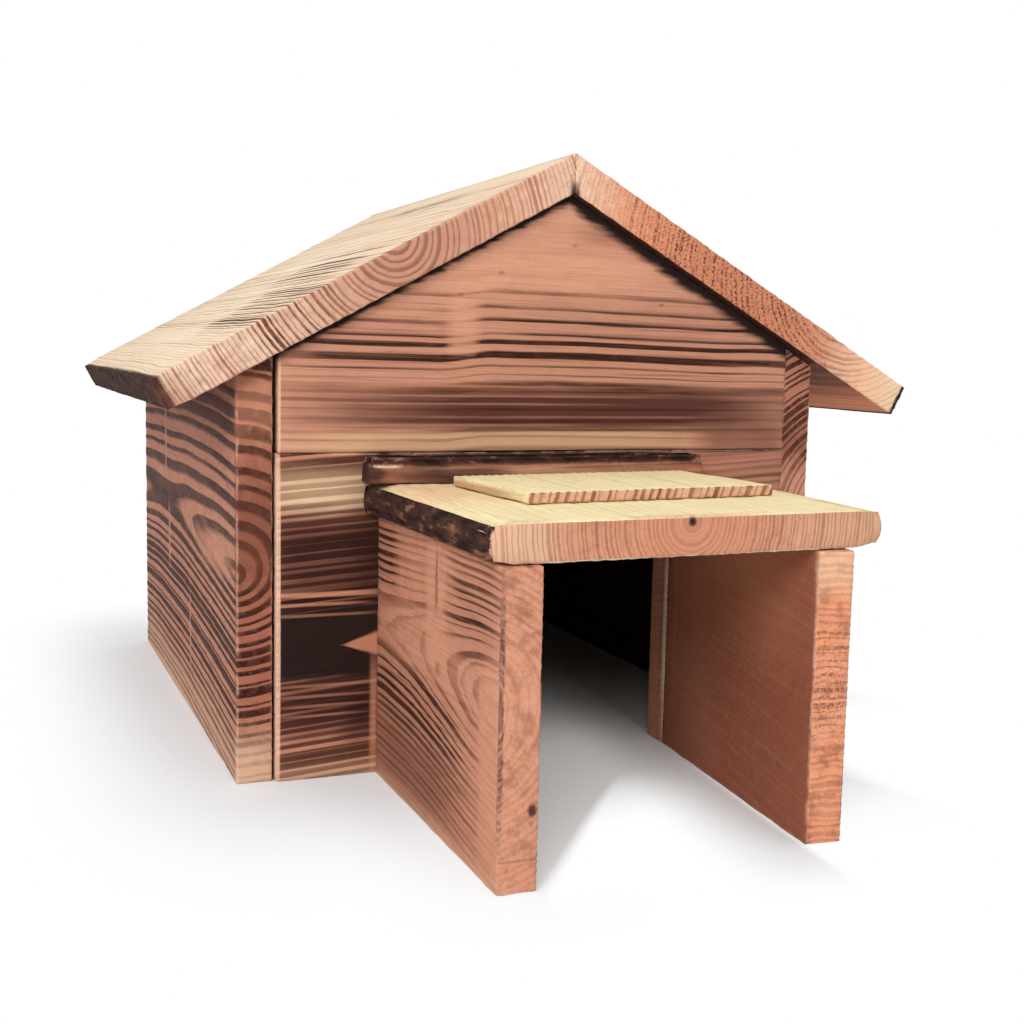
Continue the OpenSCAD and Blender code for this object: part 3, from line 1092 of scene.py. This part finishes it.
class HOUSE_OT_blank_plate(bpy.types.Operator):
    """Cut the bare plate that lies on the tunnel roof"""

    bl_idname = "house.blank_plate"
    bl_label = "Blank plate"

    def execute(self, context):
        plate = Timber(
            heart=((225, -220, 90), (227, -130, 90)), pitch=4.6, wander=0.5, ripple=0.4, seed=15.0)
        stains_and_painted_light = (("russet", Blot((-84, -170, 167.5), (14, 60, 3.6), 0.6, 0.3, 0.6, lines=0.0)),)
        saw_board(
            "blank_plate", plate,
            Finish(
                end_fresh="straw", end_warm="salmon", end_lines=1.5, stains_and_painted_light=stains_and_painted_light, scuffed=0.35,
                **PALE_WOOD),
            "roof_wood")
        return {"FINISHED"}


class HOUSE_OT_stage(bpy.types.Operator):
    """Lay the floor, hang the lamp and set up the camera"""

    bl_idname = "house.stage"
    bl_label = "Stage"

    def execute(self, context):
        settings = context.scene.stage_settings
        lay_floor(settings)
        light_stage(context.scene, settings)
        place_camera(context.scene)
        context.scene.view_settings.view_transform = "Standard"
        return {"FINISHED"}


def seen_directly(tree):
    """1 where the camera, a mirror or glass looks straight at a surface, 0 for light that it sends on."""
    path = tree.node("ShaderNodeLightPath").socket.node.outputs
    seen = Wire(tree, path["Is Camera Ray"])
    for name in ("Is Glossy Ray", "Is Transmission Ray"):
        seen = tree.maths("MAXIMUM", seen, Wire(tree, path[name]))
    return seen


def gap_to(tree, low, high, stretch):
    """How far a point of the floor is from a rectangle on it, in millimetres, with X stretched."""
    middle = (low + high) / 2
    away = tree.vector("ABSOLUTE", tree.vector("SUBTRACT", tree.place(), (middle.x, middle.y, 0)))
    away = tree.vector("SUBTRACT", away, (high.x - middle.x, high.y - middle.y, 0))
    away = tree.vector("MULTIPLY", tree.vector("MAXIMUM", away, (0, 0, 0)), (stretch, 1, 1))
    return tree.vector("LENGTH", away, out=1)


# How far from the house and from the left tunnel wall the floor turns white, in millimetres
HOUSE_FADE = 190
WALL_FADE = 60


def lay_floor(settings):
    """A pale floor that keeps the shadow and fades to white away from the house; in the tunnel it has
    painted lamp light and painted shade.
    """
    bpy.ops.object.select_all(action="DESELECT")
    bpy.ops.mesh.primitive_plane_add(size=FLOOR_SIZE, location=(0, 0, 0))
    floor = bpy.context.active_object
    floor.name = "floor"
    material = bpy.data.materials.new("pale_floor")
    material.use_nodes = True
    material.node_tree.nodes.clear()
    tree = Nodes(material.node_tree)
    house = gap_to(tree, box("left_wall")[0], box("right_wall")[1], 1.7)
    wall_low, wall_high = box("tunnel_left_wall")
    wall = gap_to(tree, wall_low, wall_high, 1.0)
    fade = tree.step(house, 0, HOUSE_FADE) * (0.65 + tree.step(wall, 0, WALL_FADE) * 0.35)
    depth = tree.dot(tree.place(), (0, 1, 0))
    front = tree.step(depth, -95, -115)
    aside = tree.step(tree.dot(tree.place(), (1, 0, 0)), box("tunnel_roof")[1].x, box("right_wall")[1].x)
    inner, reach = min(flat_faces("tunnel_right_wall"), key=lambda face: face[0].x)
    right_gap = tree.dot(tree.place(), tuple(inner)) - reach
    left_gap = tree.dot(tree.place(), (1, 0, 0)) - wall_high.x
    way_in = tree.step(right_gap, -4, 4) * tree.step(left_gap, -2, 2) * tree.step(depth, 160, -95)
    way_in = way_in * tree.step(depth, -340, -290)
    # Painted lamp light and shade on the floor in the tunnel: a bright wedge where the lamp shines in past
    # the left tunnel wall, a dimmer level beside it, and both darker towards the right tunnel wall's foot
    corner = Vector((wall_high.x, wall_low.y, 0))
    run = corner - LAMP_PLACE / MM
    edge = Vector((run.y, -run.x, 0)).normalized()
    lit = tree.step(tree.dot(tree.place(), tuple(edge)) - edge.dot(corner), -5, 8)
    lit = lit * tree.step(depth, -100, -230) * (0.05 + tree.step(right_gap, 0, 60) * 0.95)
    shaded = (0.1 + tree.step(depth, 20, -110) * 0.18) * (0.15 + tree.step(right_gap, 0, 60) * 0.85)
    beyond = tree.step(
        tree.dot(tree.place(), (1, 0, 0)), box("right_wall")[1].x, box("right_wall")[1].x + 10)
    open_side = tree.maths("MAXIMUM", front, beyond * tree.step(depth, 90, -95))
    fade = tree.maths("MAXIMUM", fade, front * 0.09 + open_side * aside)
    fade = tree.between(way_in, fade, tree.maths("MAXIMUM", lit, shaded)) * seen_directly(tree)
    plain = tree.node("ShaderNodeBsdfDiffuse", values={"Color": (*settings.floor, 1)})
    white = tree.node("ShaderNodeEmission", values={"Color": (1, 1, 1, 1), "Strength": 1.0})
    mixed = tree.node("ShaderNodeMixShader", values={0: fade, 1: plain, 2: white})
    tree.node("ShaderNodeOutputMaterial", values={"Surface": mixed})
    floor.data.materials.append(material)


def light_stage(scene, settings):
    """Even light from all round, and one large soft lamp high on the left in front."""
    world = bpy.data.worlds.new("studio")
    scene.world = world
    world.use_nodes = True
    world.node_tree.nodes.clear()
    tree = Nodes(world.node_tree)
    height = tree.dot(tree.node("ShaderNodeTexCoord", out="Generated"), (0, 0, 1))
    sky = tree.between(tree.step(height, 0.0, 1.0), settings.sky_side, settings.sky_top)
    glow = sky + (1 - sky) * seen_directly(tree)
    back = tree.node("ShaderNodeBackground", values={"Color": (1, 1, 1, 1), "Strength": glow})
    tree.node("ShaderNodeOutputWorld", values={"Surface": back})
    hang_lamp("main_lamp", settings.key)


def hang_lamp(name, power):
    """A square lamp that looks at the house."""
    bpy.ops.object.light_add(type="AREA", location=LAMP_PLACE)
    lamp = bpy.context.active_object
    lamp.name = name
    lamp.data.size = LAMP_SIZE
    lamp.data.energy = power
    lamp.rotation_euler = (LAMP_TARGET - LAMP_PLACE).to_track_quat("-Z", "Y").to_euler()


def place_camera(scene):
    """The camera, where the reference picture was taken from."""
    yaw, pitch, roll = (math.radians(turn) for turn in (CAMERA_YAW, CAMERA_PITCH, CAMERA_ROLL))
    ahead = Vector((math.sin(yaw) * math.cos(pitch), math.cos(yaw) * math.cos(pitch), math.sin(pitch)))
    level = Vector((math.cos(yaw), -math.sin(yaw), 0))
    up = level.cross(ahead)
    right = level * math.cos(roll) + up * math.sin(roll)
    over = up * math.cos(roll) - level * math.sin(roll)
    bpy.ops.object.camera_add()
    camera = bpy.context.active_object
    camera.name = "camera"
    turn = Matrix((right, over, -ahead)).transposed().to_4x4()
    camera.matrix_world = Matrix.Translation(Vector(CAMERA_PLACE) * MM) @ turn
    camera.data.sensor_width = SENSOR
    camera.data.lens = SENSOR * FOCAL_PIXELS / PICTURE
    camera.data.shift_x = (PICTURE / 2 - AXIS_PIXEL[0]) / PICTURE
    camera.data.shift_y = (AXIS_PIXEL[1] - PICTURE / 2) / PICTURE
    camera.data.clip_start = 0.05
    scene.camera = camera


class HOUSE_PT_panel(bpy.types.Panel):
    """Lists the pieces of the house and their settings"""

    bl_idname = "HOUSE_PT_panel"
    bl_label = "Hedgehog house"
    bl_space_type = "VIEW_3D"
    bl_region_type = "UI"
    bl_category = "House"

    def draw(self, context):
        for operator in OPERATORS:
            self.layout.operator(operator.bl_idname)
        for group in (context.scene.house_sizes, context.scene.house_colours, context.scene.stage_settings):
            column = self.layout.column()
            for name in group.__annotations__:
                column.prop(group, name)


OPERATORS = (
    HOUSE_OT_side_walls, HOUSE_OT_front_boards, HOUSE_OT_back_boards, HOUSE_OT_roof_slabs,
    HOUSE_OT_tunnel_walls, HOUSE_OT_tunnel_roof, HOUSE_OT_tunnel_batten, HOUSE_OT_blank_plate,
    HOUSE_OT_stage)
CLASSES = (HouseSizes, HouseColours, StageSettings, *OPERATORS, HOUSE_PT_panel)


def register():
    for item in CLASSES:
        bpy.utils.register_class(item)
    bpy.types.Scene.house_sizes = bpy.props.PointerProperty(type=HouseSizes)
    bpy.types.Scene.house_colours = bpy.props.PointerProperty(type=HouseColours)
    bpy.types.Scene.stage_settings = bpy.props.PointerProperty(type=StageSettings)


def unregister():
    del bpy.types.Scene.stage_settings
    del bpy.types.Scene.house_colours
    del bpy.types.Scene.house_sizes
    for item in reversed(CLASSES):
        bpy.utils.unregister_class(item)


def main():
    register()
    bpy.ops.house.side_walls()
    bpy.ops.house.front_boards()
    bpy.ops.house.back_boards()
    bpy.ops.house.roof_slabs()
    bpy.ops.house.tunnel_walls()
    bpy.ops.house.tunnel_roof()
    bpy.ops.house.tunnel_batten()
    bpy.ops.house.blank_plate()
    bpy.ops.house.stage()


if __name__ == "__main__":
    main()
